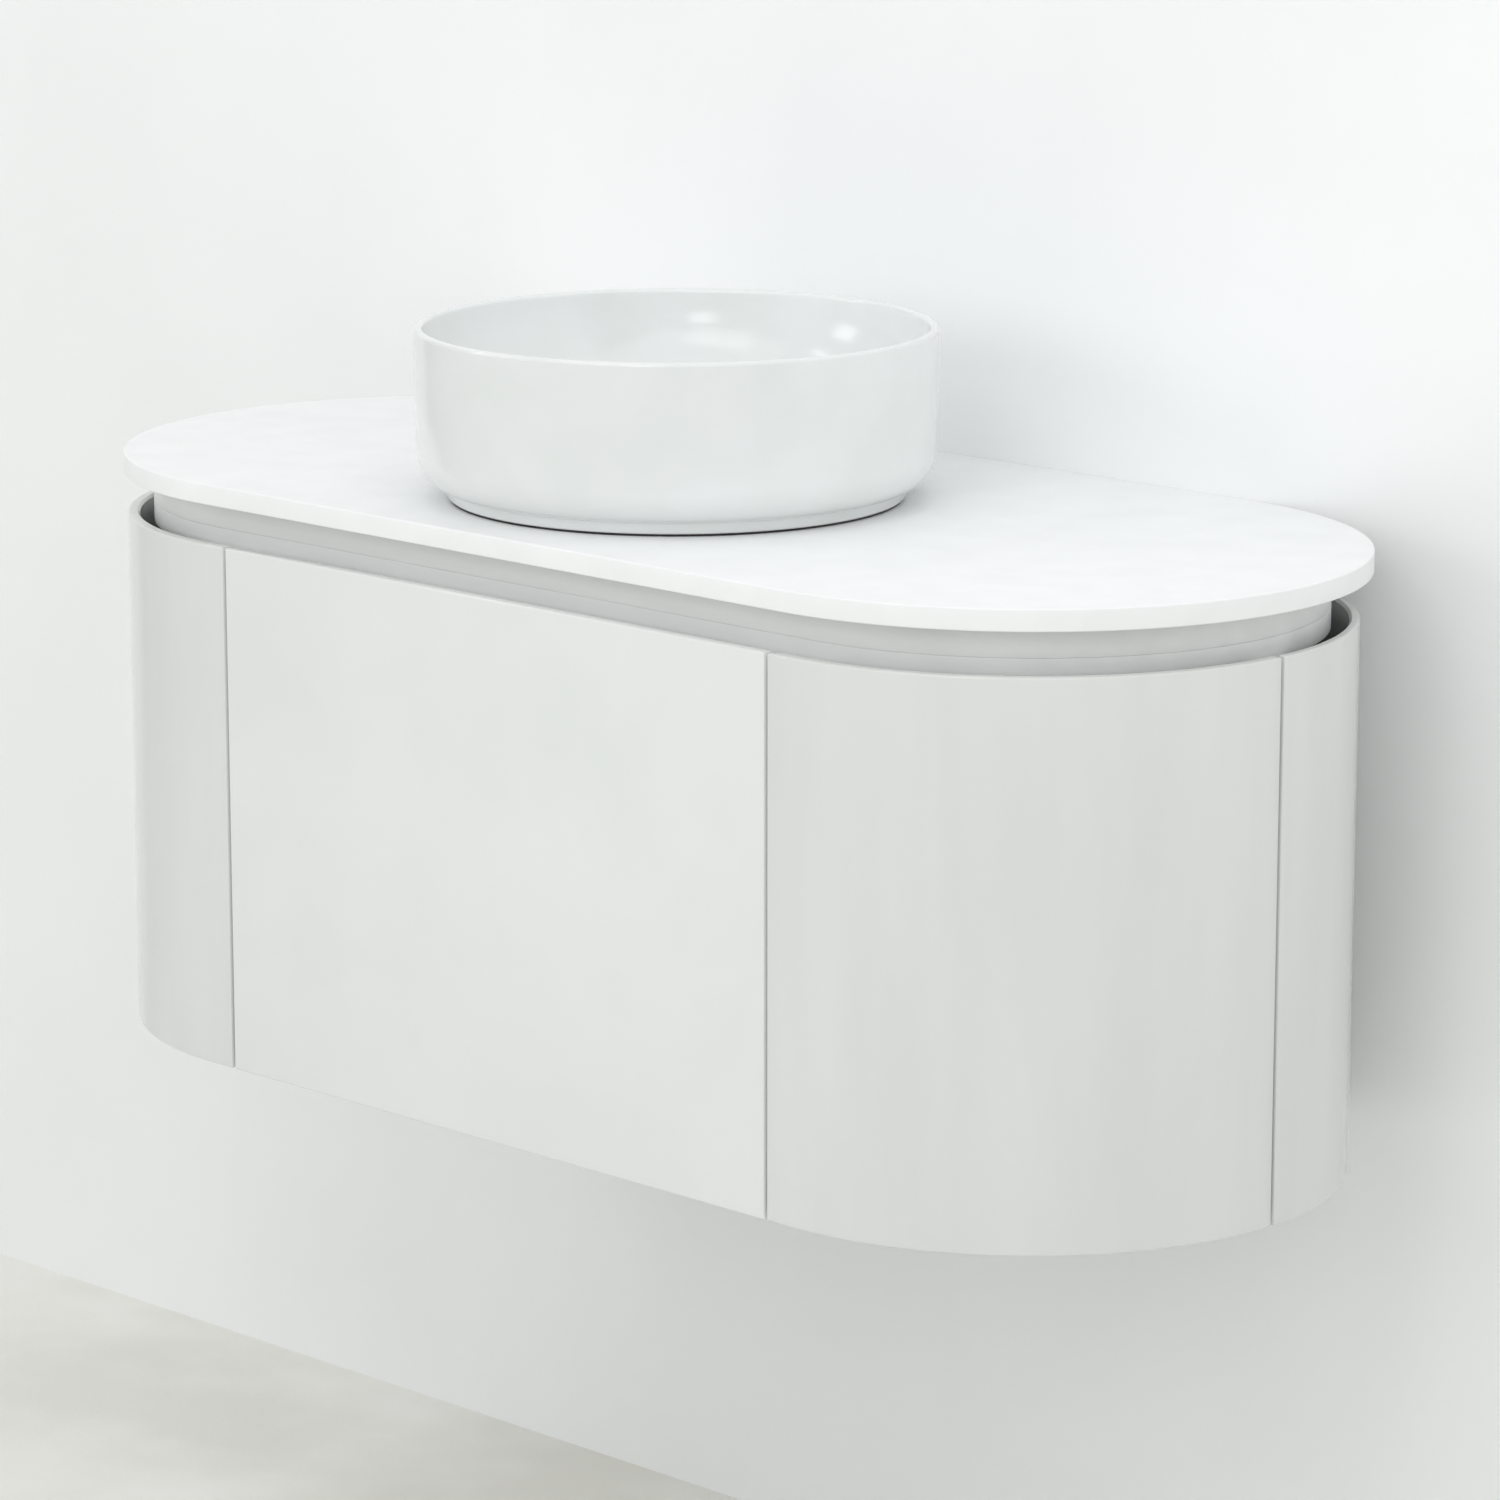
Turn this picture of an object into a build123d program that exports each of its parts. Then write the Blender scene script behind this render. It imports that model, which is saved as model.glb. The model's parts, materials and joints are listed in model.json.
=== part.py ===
from build123d import *

import os
from math import acos, asin, degrees

# Wall-hung vanity with a round vessel basin, in millimetres. X runs along the wall, the cabinet
# stands out from the wall plane y = 0 towards -Y, and Z is up. The origin is on the wall plane, at
# mid-length, on the back face of the hanging rail.

# Worktop
worktop_length = 1200.0
worktop_depth = 540.0
worktop_thickness = 17.0
worktop_top = 110.0
worktop_bottom = worktop_top - worktop_thickness
worktop_edge = 1.2

# Cabinet outline: a slot shape held off the wall by the back frame
end_inset = 5.0
front_inset = 6.0
wall_gap = 18.0
cabinet_half = worktop_length / 2 - end_inset
cabinet_radius = (worktop_depth - front_inset - wall_gap) / 2
end_x = cabinet_half - cabinet_radius
end_centre = (end_x, -wall_gap - cabinet_radius)

# Heights of the fronts and the recessed neck above them
recess_height = 34.5
front_height = 441.0
front_top = worktop_bottom - recess_height
front_bottom = front_top - front_height
board = 18.0
neck_inset = 22.0
neck_radius = cabinet_radius - neck_inset
top_board_bottom = front_top - 8.0
top_board_top = top_board_bottom + board
bottom_board_bottom = front_bottom + 2.0
bottom_board_top = bottom_board_bottom + board
inside_height = top_board_bottom - bottom_board_top

# Fronts
seam_x = 309.0
seam_gap = 3.0
front_thickness = 18.0
door_thickness = 10.0
rear_panel_thickness = 8.0
front_face = end_centre[1] - cabinet_radius
front_back = front_face + front_thickness
front_half = seam_x - seam_gap / 2
door_start = seam_x + seam_gap / 2
door_sweep = 90 - degrees(asin(seam_gap / 2 / cabinet_radius))
front_edge = 0.8

# Carcass
closing_gap = 2.5
door_gap = 3.0
glue_gap = 0.2
carcass_front = front_back + closing_gap
partition_in = seam_x - board / 2
partition_out = seam_x + board / 2
partition_back = -wall_gap - rear_panel_thickness
rear_inner_radius = cabinet_radius - rear_panel_thickness
board_front_radius = cabinet_radius - door_thickness - door_gap
board_rear_radius = rear_inner_radius - glue_gap
back_rail_thickness = 16.0
upper_rail_bottom = -45.0
lower_rail_top = bottom_board_top + 80.0

# Basin
basin_x = -9.0
basin_y = -310.0
basin_radius = 211.0
basin_height = 140.0
basin_lift = 2.0
foot_radius = 184.5
foot_height = 8.0
foot_width = 12.0
corner_radius = 30.0
rim_radius = 3.6
wall_top = 7.6
bowl_floor = 20.0
bowl_floor_fall = 3.0
bowl_reach = 165.0
bowl_wall = 11.0
boss_bottom = 5.0
boss_width = 20.0
drain_radius = 23.0

# Waste and trap, on the basin's axis
waste_hole_radius = 25.0
board_hole_radius = 45.0
flange_radius = 31.0
flange_thickness = 2.5
waste_tube_radius = 20.0
waste_tube_bore = 17.0
waste_tube_bottom = 60.0
nut_radius = 30.0
nut_height = 12.0
gasket_thickness = 3.0
pipe_radius = 16.0
pipe_wall = 1.5
outlet_z = -75.0
cup_radius = 30.0
cup_wall = 2.5
cup_bottom = -168.0
cup_top = -108.0
trap_top = -50.0
dip_tube_bottom = -140.0
pipe_in_wall = 30.0
spigot_radius = 15.8
rosette_radius = 35.0
fit_gap = 0.15

# Hinges, on the cabinet side of each door's front edge
hinge_heights = (top_board_bottom - 67.0, bottom_board_top + 55.0)
hinge_cup_x = seam_x + 30.0
hinge_cup_radius = 17.4
hinge_cup_hole = 17.5
hinge_cup_pocket = 1.5
batten_thickness = 10.0
batten_end = seam_x + 52.0
batten_back = front_face + door_thickness + batten_thickness
plate_thickness = 3.0
plate_y = carcass_front + 37.0
screw_spacing = 32.0

# Drawer and runners
runner_length = 450.0
runner_thickness = 12.7
runner_z = -300.0
steel = 1.2
drawer_side = 16.0
drawer_top = -100.0
drawer_bottom = -350.0
drawer_half = partition_in - runner_thickness
drawer_inner = drawer_half - drawer_side
drawer_back = front_back + runner_length
drawer_board = 12.0
floor_bottom = drawer_bottom + 6.0
floor_top = floor_bottom + drawer_board
slot_half = 80.0
slot_front = basin_y - 65.0

# Hanging rail, brackets and shelves
rail_half = 280.0
rail_hole_x = 200.0
rail_hole_z = -7.0
hanger_x = 230.0
shelf_radius = 226.0
shelf_thickness = 16.0
shelf_z = (top_board_bottom + bottom_board_top) / 2
pin_radius = 2.5
pin_length = 16.0
pin_drop = pin_radius + 0.2

os.makedirs("parts", exist_ok=True)


def write(builder, name):
    """Labels a finished piece and writes it to its own STEP file."""
    builder.part.label = name
    export_step(builder.part, f"parts/{name}.step")


def write_pair(builder, name):
    """Writes a right-hand piece and its mirror image on the left."""
    write(builder, f"right_{name}")
    with BuildPart() as left_piece:
        mirror(builder.part, about=Plane.YZ)
    write(left_piece, f"left_{name}")


def rods(places, radius, length):
    """Cylinders that run back from the given planes, for holes and plain pins."""
    with BuildPart() as made:
        for place in places:
            with BuildSketch(place):
                Circle(radius)
            extrude(amount=-length)
    return made.part


def screws(places, head_radius, head_height, shank_radius, shank_length):
    """Pan-head screws whose heads stand on the given planes."""
    with BuildPart() as made:
        for place in places:
            with BuildSketch(place):
                Circle(shank_radius)
            extrude(amount=-shank_length)
            with BuildSketch(place):
                Circle(head_radius)
            extrude(amount=head_height, taper=20)
    return made.part


def ring(plane, outer, inner, height):
    """A flat ring that stands on the given plane."""
    with BuildPart() as made:
        with BuildSketch(plane):
            Circle(outer)
            Circle(inner, mode=Mode.SUBTRACT)
        extrude(amount=height)
    return made.part


def block(low, high):
    """A rectangular board between two opposite corners."""
    with BuildPart() as made:
        with BuildSketch(Plane.XY.offset(low[2])):
            with Locations(((low[0] + high[0]) / 2, (low[1] + high[1]) / 2)):
                Rectangle(high[0] - low[0], high[1] - low[1])
        extrude(amount=high[2] - low[2])
    return made.part


def facing(point, direction):
    """A plane at a point whose normal is the given direction."""
    return Plane(origin=point, z_dir=direction)


def on_basin_axis(z):
    """A horizontal plane centred on the basin's axis."""
    return Plane(origin=(basin_x, basin_y, z))


# Where the screws and pins go
carcass_screw_ys = (-430.0, -90.0)
carcass_screw_shank = 50.0
carcass_screw_radius = 2.5
screw_sink = 3.0
screw_sink_radius = 5.0
screw_fit = 0.1
shelf_pin_ys = (-430.0, -100.0)
bottom_screws = [facing((x, y, bottom_board_bottom + screw_sink), (0, 0, -1))
                 for x in (-seam_x, seam_x) for y in carcass_screw_ys]
top_screws = [facing((x, y, top_board_top - screw_sink), (0, 0, 1))
              for x in (-seam_x, seam_x) for y in carcass_screw_ys]
plate_screws = [facing((partition_out + plate_thickness, plate_y, z + dz), (1, 0, 0))
                for z in hinge_heights for dz in (-screw_spacing / 2, screw_spacing / 2)]
shelf_pin_z = shelf_z - shelf_thickness / 2 - pin_drop
partition_pins = [facing((partition_out + pin_length / 2, y, shelf_pin_z), (1, 0, 0))
                  for y in shelf_pin_ys]
stile_thickness = 20.0
stile_inner_radius = rear_inner_radius - stile_thickness
stile_pin_x = end_x + stile_inner_radius - pin_length / 2
stile_pin = facing((stile_pin_x, end_centre[1] + 18, shelf_pin_z), (-1, 0, 0))
hanger_plate_y = -wall_gap
hanger_plate_thickness = 2.5
hanger_screw_zs = (-25.0, 40.0)
hanger_screws = [facing((x + dx, hanger_plate_y + hanger_plate_thickness, z), (0, 1, 0))
                 for x in (-hanger_x, hanger_x) for dx in (-18, 18) for z in hanger_screw_zs]

# ---------------------------------------------------------------- worktop and neck

with BuildPart() as worktop:
    with BuildSketch(Plane.XY.offset(worktop_bottom)):
        with Locations((0, -worktop_depth / 2)):
            SlotOverall(worktop_length, worktop_depth)
    extrude(amount=worktop_thickness)
    fillet(worktop.edges().filter_by(Axis.Z, reverse=True), worktop_edge)
    add(rods([on_basin_axis(worktop_top)], waste_hole_radius, worktop_thickness), mode=Mode.SUBTRACT)
write(worktop, "worktop")

with BuildPart() as neck_board:
    with BuildSketch(Plane.XY.offset(top_board_top)):
        with Locations((0, end_centre[1])):
            SlotOverall(2 * (end_x + neck_radius), 2 * neck_radius)
        with Locations((basin_x, basin_y)):
            Circle(board_hole_radius, mode=Mode.SUBTRACT)
    extrude(amount=worktop_bottom - top_board_top)
    chamfer(neck_board.faces().sort_by(Axis.Z)[0].outer_wire().edges(), 0.6)
write(neck_board, "neck_board")

with BuildPart() as top_board:
    with BuildSketch(Plane.XY.offset(top_board_bottom)):
        with Locations((0, end_centre[1])):
            SlotOverall(2 * (end_x + neck_radius), 2 * neck_radius)
        with Locations((basin_x, basin_y)):
            Circle(board_hole_radius, mode=Mode.SUBTRACT)
    extrude(amount=board)
    chamfer(top_board.faces().sort_by(Axis.Z)[-1].outer_wire().edges(), 0.6)
    add(rods(top_screws, screw_sink_radius, screw_sink), mode=Mode.SUBTRACT)
    add(rods([p.offset(screw_sink) for p in top_screws], screw_sink_radius, screw_sink), mode=Mode.SUBTRACT)
    add(rods(top_screws, carcass_screw_radius + screw_fit, board), mode=Mode.SUBTRACT)
write(top_board, "top_board")

# ---------------------------------------------------------------- carcass

with BuildPart() as bottom_board:
    with BuildSketch(Plane.XY.offset(bottom_board_bottom)):
        with BuildLine():
            right_front = CenterArc(end_centre, board_front_radius, -90, 90)
            right_rear = CenterArc(end_centre, board_rear_radius, 0, 90)
            left_front = CenterArc((-end_x, end_centre[1]), board_front_radius, 180, 90)
            left_rear = CenterArc((-end_x, end_centre[1]), board_rear_radius, 90, 90)
            Line(right_front @ 1, right_rear @ 0)
            Polyline(
                right_rear @ 1,
                (partition_in, (right_rear @ 1).Y),
                (partition_in, -wall_gap),
                (-partition_in, -wall_gap),
                (-partition_in, (left_rear @ 0).Y),
                left_rear @ 0,
            )
            Line(left_rear @ 1, left_front @ 0)
            Polyline(
                left_front @ 1,
                (-door_start, (left_front @ 1).Y),
                (-door_start, carcass_front),
                (door_start, carcass_front),
                (door_start, (right_front @ 0).Y),
                right_front @ 0,
            )
        make_face()
    extrude(amount=board)
    add(rods([p.offset(screw_sink) for p in bottom_screws], screw_sink_radius, screw_sink),
        mode=Mode.SUBTRACT)
    add(rods(bottom_screws, carcass_screw_radius + screw_fit, board), mode=Mode.SUBTRACT)
write(bottom_board, "bottom_board")

with BuildPart() as partition:
    add(block((partition_in, carcass_front, bottom_board_top),
              (partition_out, partition_back, top_board_bottom)))
    add(rods(bottom_screws + top_screws, carcass_screw_radius + screw_fit, carcass_screw_shank + 1),
        mode=Mode.SUBTRACT)
    add(rods(plate_screws, 1.8 + screw_fit, 16), mode=Mode.SUBTRACT)
    add(rods(partition_pins, pin_radius + screw_fit, pin_length + 0.5), mode=Mode.SUBTRACT)
write_pair(partition, "partition")

with BuildPart() as upper_back_rail:
    add(block((-partition_in, -wall_gap - back_rail_thickness, upper_rail_bottom),
              (partition_in, -wall_gap, top_board_bottom)))
    add(rods(hanger_screws, 2 + screw_fit, 16), mode=Mode.SUBTRACT)
write(upper_back_rail, "upper_back_rail")

with BuildPart() as lower_back_rail:
    add(block((-end_x, -wall_gap, bottom_board_bottom), (end_x, 0, lower_rail_top)))
    wall_holes = [facing((x, 0, lower_rail_top - 40), (0, 1, 0)) for x in (-rail_hole_x, rail_hole_x)]
    add(rods(wall_holes, 3, wall_gap), mode=Mode.SUBTRACT)
write(lower_back_rail, "lower_back_rail")

with BuildPart() as back_stile:
    add(block((partition_in, -wall_gap, lower_rail_top), (end_x, 0, top_board_bottom)))
write_pair(back_stile, "back_stile")

with BuildPart() as rear_panel:
    with BuildSketch(Plane.XY.offset(front_bottom)):
        with BuildLine():
            outside = CenterArc(end_centre, cabinet_radius, 90 - door_sweep, door_sweep)
            inside = CenterArc(end_centre, rear_inner_radius, 90 - door_sweep, door_sweep)
            Line(outside @ 0, inside @ 0)
            Polyline(outside @ 1, (partition_in, -wall_gap), (partition_in, partition_back), inside @ 1)
        make_face()
    extrude(amount=front_height)
    chamfer(rear_panel.edges().group_by(Axis.Z)[-1], front_edge)
write_pair(rear_panel, "rear_panel")

with BuildPart() as end_stile:
    with BuildSketch(Plane.XY.offset(bottom_board_top)):
        with BuildLine():
            panel_side = CenterArc(end_centre, board_rear_radius, 0.6, 7.4)
            door_side = CenterArc(end_centre, board_front_radius, -3, 3.6)
            inner_side = CenterArc(end_centre, stile_inner_radius, -3, 11)
            Line(door_side @ 0, inner_side @ 0)
            Line(door_side @ 1, panel_side @ 0)
            Line(panel_side @ 1, inner_side @ 1)
        make_face()
    extrude(amount=inside_height)
    add(rods([stile_pin], pin_radius + screw_fit, pin_length + 0.5), mode=Mode.SUBTRACT)
write_pair(end_stile, "end_stile")

with BuildPart() as carcass_screws:
    add(screws(bottom_screws + top_screws, 4.5, 2.5, carcass_screw_radius, carcass_screw_shank))
write(carcass_screws, "carcass_screws")

# ---------------------------------------------------------------- shelves in the end compartments

with BuildPart() as shelf:
    with BuildSketch(Plane.XY.offset(shelf_z - shelf_thickness / 2)):
        with Locations(end_centre):
            Circle(shelf_radius)
        with Locations((partition_out + 2 - cabinet_radius / 2, end_centre[1])):
            Rectangle(cabinet_radius, 2 * cabinet_radius, mode=Mode.SUBTRACT)
    extrude(amount=shelf_thickness)
    fillet(shelf.edges().filter_by(GeomType.CIRCLE), 1)
write_pair(shelf, "shelf")

with BuildPart() as shelf_pins:
    add(rods(partition_pins + [stile_pin], pin_radius, pin_length))
    mirror(about=Plane.YZ)
write(shelf_pins, "shelf_pins")

# ---------------------------------------------------------------- wall hanging

with BuildPart() as wall_rail:
    with BuildSketch(Plane.YZ.offset(-rail_half)):
        with BuildLine():
            Polyline((0, -20), (0, 6), (-6, 6), (-6, 20), (-8, 20), (-8, 4), (-2, 4), (-2, -20),
                     close=True)
        make_face()
    extrude(amount=2 * rail_half)
    rail_holes = [facing((x, 0, rail_hole_z), (0, 1, 0)) for x in (-rail_hole_x, rail_hole_x)]
    add(rods(rail_holes, 3.5, 4), mode=Mode.SUBTRACT)
write(wall_rail, "wall_rail")

with BuildPart() as hanger_bracket:
    with BuildSketch(Plane.YZ.offset(hanger_x - 30)):
        with BuildLine():
            plate_back = hanger_plate_y + hanger_plate_thickness
            Polyline((hanger_plate_y, -40), (hanger_plate_y, 48), (plate_back, 48), (plate_back, 23),
                     (-3, 23), (-3, 9), (-5, 9), (-5, 20.6), (plate_back, 20.6), (plate_back, -40),
                     close=True)
        make_face()
    extrude(amount=60)
    add(rods(hanger_screws, 2 + screw_fit, 4), mode=Mode.SUBTRACT)
write_pair(hanger_bracket, "hanger_bracket")

with BuildPart() as hanger_screw_set:
    add(screws(hanger_screws, 4, 2, 2, 16))
write(hanger_screw_set, "hanger_screws")

# ---------------------------------------------------------------- doors and hinges

with BuildPart() as door_panel:
    with BuildSketch(Plane.XY.offset(front_bottom)):
        with BuildLine():
            outside = CenterArc(end_centre, cabinet_radius, -90, door_sweep)
            inside = CenterArc(end_centre, cabinet_radius - door_thickness, -90, door_sweep)
            Line(outside @ 1, inside @ 1)
            Polyline(
                outside @ 0,
                (door_start, front_face),
                (door_start, front_face + door_thickness),
                inside @ 0,
            )
        make_face()
    extrude(amount=front_height)
    chamfer(door_panel.edges().group_by(Axis.Z)[-1], front_edge)
    cup_places = [facing((hinge_cup_x, batten_back, z), (0, 1, 0)) for z in hinge_heights]
    add(rods(cup_places, hinge_cup_hole, batten_thickness + hinge_cup_pocket), mode=Mode.SUBTRACT)
write_pair(door_panel, "door_panel")

with BuildPart() as hinge_batten:
    with BuildSketch(Plane.XY.offset(bottom_board_top + 2)):
        with Locations(end_centre):
            Circle(cabinet_radius - door_thickness)
        with Locations((door_start, end_centre[1])):
            Rectangle(2 * (end_x - door_start), 2 * (cabinet_radius - door_thickness))
        batten_width = batten_end - door_start
        with Locations((door_start + batten_width / 2, batten_back - batten_thickness / 2)):
            Rectangle(batten_width, batten_thickness, mode=Mode.INTERSECT)
    extrude(amount=inside_height - 4)
    chamfer(hinge_batten.faces().sort_by(Axis.Y)[-1].edges().filter_by(Axis.Z), 2)
    add(rods(cup_places, hinge_cup_hole, batten_thickness), mode=Mode.SUBTRACT)
write_pair(hinge_batten, "hinge_batten")

with BuildPart() as hinge_cups:
    for z in hinge_heights:
        with BuildSketch(facing((hinge_cup_x, batten_back, z), (0, 1, 0))):
            RectangleRounded(56, 2 * hinge_cup_radius - 12, 5)
            Circle(hinge_cup_radius + 2)
        extrude(amount=2)
        add(rods([facing((hinge_cup_x, batten_back, z), (0, 1, 0))], hinge_cup_radius, 11.3))
        add(rods([facing((hinge_cup_x, batten_back + 2, z), (0, 1, 0))], hinge_cup_radius - 1, 12.3),
            mode=Mode.SUBTRACT)
write_pair(hinge_cups, "hinge_cups")

with BuildPart() as hinge_plates:
    for z in hinge_heights:
        with BuildSketch(facing((partition_out, plate_y, z), (1, 0, 0))):
            RectangleRounded(46, 50, 6)
        extrude(amount=plate_thickness)
    add(rods(plate_screws, 1.8 + screw_fit, plate_thickness), mode=Mode.SUBTRACT)
write_pair(hinge_plates, "hinge_plates")

with BuildPart() as hinge_arms:
    arm_root = partition_out + plate_thickness
    for z in hinge_heights:
        with BuildSketch(Plane.XY.offset(z - 7)):
            with BuildLine():
                Polyline(
                    (arm_root, front_face + 74),
                    (arm_root, front_face + 26),
                    (hinge_cup_x - 4, front_face + 24.5),
                    (hinge_cup_x - 4, front_face + 15),
                    (hinge_cup_x + 6, front_face + 15),
                    (hinge_cup_x + 6, front_face + 28),
                    (arm_root + 10, front_face + 40),
                    (arm_root + 8, front_face + 74),
                    close=True,
                )
            make_face()
        extrude(amount=14)
        fillet(hinge_arms.edges().filter_by(Axis.Z).sort_by(Axis.Y)[:2], 2)
write_pair(hinge_arms, "hinge_arms")

with BuildPart() as hinge_screws:
    add(screws(plate_screws, 3.5, 1.8, 1.8, 15))
    mirror(about=Plane.YZ)
write(hinge_screws, "hinge_screws")

with BuildPart() as door_buffers:
    for z in (bottom_board_top + 40, top_board_bottom - 40):
        with BuildSketch(facing((end_x + board_front_radius, end_centre[1] - 6.5, z), (1, 0, 0))):
            Circle(4)
        extrude(amount=door_gap - 0.5, taper=15)
    mirror(about=Plane.YZ)
write(door_buffers, "door_buffers")

# ---------------------------------------------------------------- drawer

with BuildPart() as drawer_front:
    add(block((-front_half, front_face, front_bottom), (front_half, front_back, front_top)))
    fillet(drawer_front.edges().group_by(Axis.Y)[0], front_edge)
write(drawer_front, "drawer_front")

with BuildPart() as drawer_side_board:
    add(block((drawer_inner, front_back, drawer_bottom), (drawer_half, drawer_back, drawer_top)))
    fillet(drawer_side_board.edges().filter_by(Axis.Y).group_by(Axis.Z)[-1], 2)
write_pair(drawer_side_board, "drawer_side")

with BuildPart() as drawer_floor:
    add(block((-drawer_inner, front_back, floor_bottom), (drawer_inner, drawer_back, floor_top)))
    add(block((basin_x - slot_half, slot_front, floor_bottom),
              (basin_x + slot_half, drawer_back, floor_top)), mode=Mode.SUBTRACT)
write(drawer_floor, "drawer_floor")

with BuildPart() as pipe_surround:
    outer = slot_half + drawer_board
    add(block((basin_x - outer, slot_front - drawer_board, floor_top),
              (basin_x + outer, drawer_back, drawer_top)))
    add(block((basin_x - slot_half, slot_front, floor_top),
              (basin_x + slot_half, drawer_back, drawer_top)), mode=Mode.SUBTRACT)
    fillet(pipe_surround.faces().sort_by(Axis.Z)[-1].edges().filter_by(GeomType.LINE), 2)
write(pipe_surround, "pipe_surround")

for name, low_x, high_x in (
    ("drawer_left_back", -drawer_inner, basin_x - outer),
    ("drawer_right_back", basin_x + outer, drawer_inner),
):
    with BuildPart() as back_board:
        add(block((low_x, drawer_back - drawer_board, floor_top), (high_x, drawer_back, drawer_top)))
        fillet(back_board.edges().filter_by(Axis.X).group_by(Axis.Z)[-1], 2)
    write(back_board, name)


def channel(web, tips, half_height):
    """A runner member: a steel channel with its web at one X and its flange tips at another."""
    towards = 1 if tips > web else -1
    wide = abs(tips - web)
    with BuildPart() as made:
        with BuildSketch(Plane.XZ.offset(-front_back - 9)):
            with Locations((web + towards * wide / 2, runner_z)):
                Rectangle(wide, 2 * half_height)
            with Locations((web + towards * (wide / 2 + steel), runner_z)):
                Rectangle(wide, 2 * (half_height - steel), mode=Mode.SUBTRACT)
        extrude(amount=-runner_length)
    return made


write_pair(channel(partition_in, partition_in - 10.0, 22.5), "runner_cabinet_member")
write_pair(channel(partition_in - 6.2, partition_in - 10.5, 20.0), "runner_middle_member")
write_pair(channel(drawer_half, drawer_half + 4.5, 15.0), "runner_drawer_member")

# ---------------------------------------------------------------- basin

with BuildPart() as basin:
    with BuildSketch(Plane(origin=(basin_x, basin_y, worktop_top), x_dir=(1, 0, 0), z_dir=(0, -1, 0))):
        with BuildLine():
            side_top = (basin_radius, basin_height - rim_radius)
            corner_centre = (basin_radius - 1.3 - corner_radius, basin_lift + foot_height + corner_radius)
            foot_angle = -degrees(asin(1)) + degrees(asin((foot_radius - corner_centre[0]) / corner_radius))
            corner = CenterArc(corner_centre, corner_radius, foot_angle, -foot_angle)
            inner_top = (basin_radius - wall_top, basin_height - rim_radius)
            bowl_centre = (inner_top[0] - bowl_reach, inner_top[1])
            bowl_depth = inner_top[1] - bowl_floor
            bowl = EllipticalCenterArc(bowl_centre, bowl_reach, bowl_depth, -90, arc_size=90)
            under_reach = bowl_reach + bowl_wall
            boss_edge = drain_radius + boss_width
            foot_inside = foot_radius - foot_width
            under_from = -degrees(acos((boss_edge + 6 - bowl_centre[0]) / under_reach))
            under_to = -degrees(acos((foot_inside - bowl_centre[0]) / under_reach))
            under = EllipticalCenterArc(bowl_centre, under_reach, bowl_depth + bowl_wall, under_from,
                                        arc_size=under_to - under_from)
            Line(corner @ 1, side_top)
            ThreePointArc(side_top, ((side_top[0] + inner_top[0]) / 2, basin_height), inner_top)
            Polyline(
                bowl @ 0,
                (flange_radius + 3, bowl_floor - bowl_floor_fall),
                (flange_radius + 1, bowl_floor - bowl_floor_fall - flange_thickness),
                (drain_radius, bowl_floor - bowl_floor_fall - flange_thickness),
                (drain_radius, boss_bottom),
                (boss_edge, boss_bottom),
                under @ 0,
            )
            Polyline(
                under @ 1,
                (foot_inside, basin_lift),
                (foot_radius - 1, basin_lift),
                (foot_radius, basin_lift + 1),
                corner @ 0,
            )
        make_face()
    revolve(axis=Axis((basin_x, basin_y, 0), (0, 0, 1)))
write(basin, "basin")

with BuildPart() as basin_seal:
    add(ring(on_basin_axis(worktop_top), foot_radius - 2, foot_radius - foot_width + 2, basin_lift))
write(basin_seal, "basin_seal")

# ---------------------------------------------------------------- waste and trap

flange_top = worktop_top + bowl_floor - bowl_floor_fall
flange_bottom = flange_top - flange_thickness
with BuildPart() as waste_body:
    add(ring(on_basin_axis(flange_bottom), flange_radius, waste_tube_bore, flange_thickness))
    chamfer(waste_body.edges().group_by(Axis.Z)[-1], 0.8)
    add(ring(on_basin_axis(waste_tube_bottom), waste_tube_radius, waste_tube_bore,
             flange_bottom - waste_tube_bottom))
    with BuildSketch(on_basin_axis(waste_tube_bottom + 6)):
        Rectangle(2 * waste_tube_bore + 1, 2.5)
        Rectangle(2.5, 2 * waste_tube_bore + 1)
        Circle(4)
        Circle(2.6, mode=Mode.SUBTRACT)
    extrude(amount=3)
write(waste_body, "waste_body")

plug_seat = flange_top + 0.3
with BuildPart() as waste_plug:
    with BuildSketch(Plane(origin=(basin_x, basin_y, plug_seat), x_dir=(1, 0, 0), z_dir=(0, -1, 0))):
        with BuildLine():
            stem_end = waste_tube_bottom + 2 - plug_seat
            Polyline((0, 5), (0, stem_end), (2.5, stem_end), (2.5, -3), (12, -3), (12, 0), (27, 0), (27, 1.5))
            TangentArc((0, 5), (27, 1.5), tangent=(1, 0))
        make_face()
    revolve(axis=Axis((basin_x, basin_y, 0), (0, 0, 1)))
write(waste_plug, "waste_plug")

with BuildPart() as waste_gasket:
    add(ring(on_basin_axis(worktop_bottom - gasket_thickness), nut_radius + 2, waste_tube_radius,
             gasket_thickness))
write(waste_gasket, "waste_gasket")

with BuildPart() as waste_nut:
    with BuildSketch(on_basin_axis(worktop_bottom - gasket_thickness - nut_height)):
        RegularPolygon(nut_radius, 6)
        Circle(waste_tube_radius, mode=Mode.SUBTRACT)
    extrude(amount=nut_height)
    chamfer(waste_nut.faces().sort_by(Axis.Z)[0].outer_wire().edges(), 1)
write(waste_nut, "waste_nut")

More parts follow.
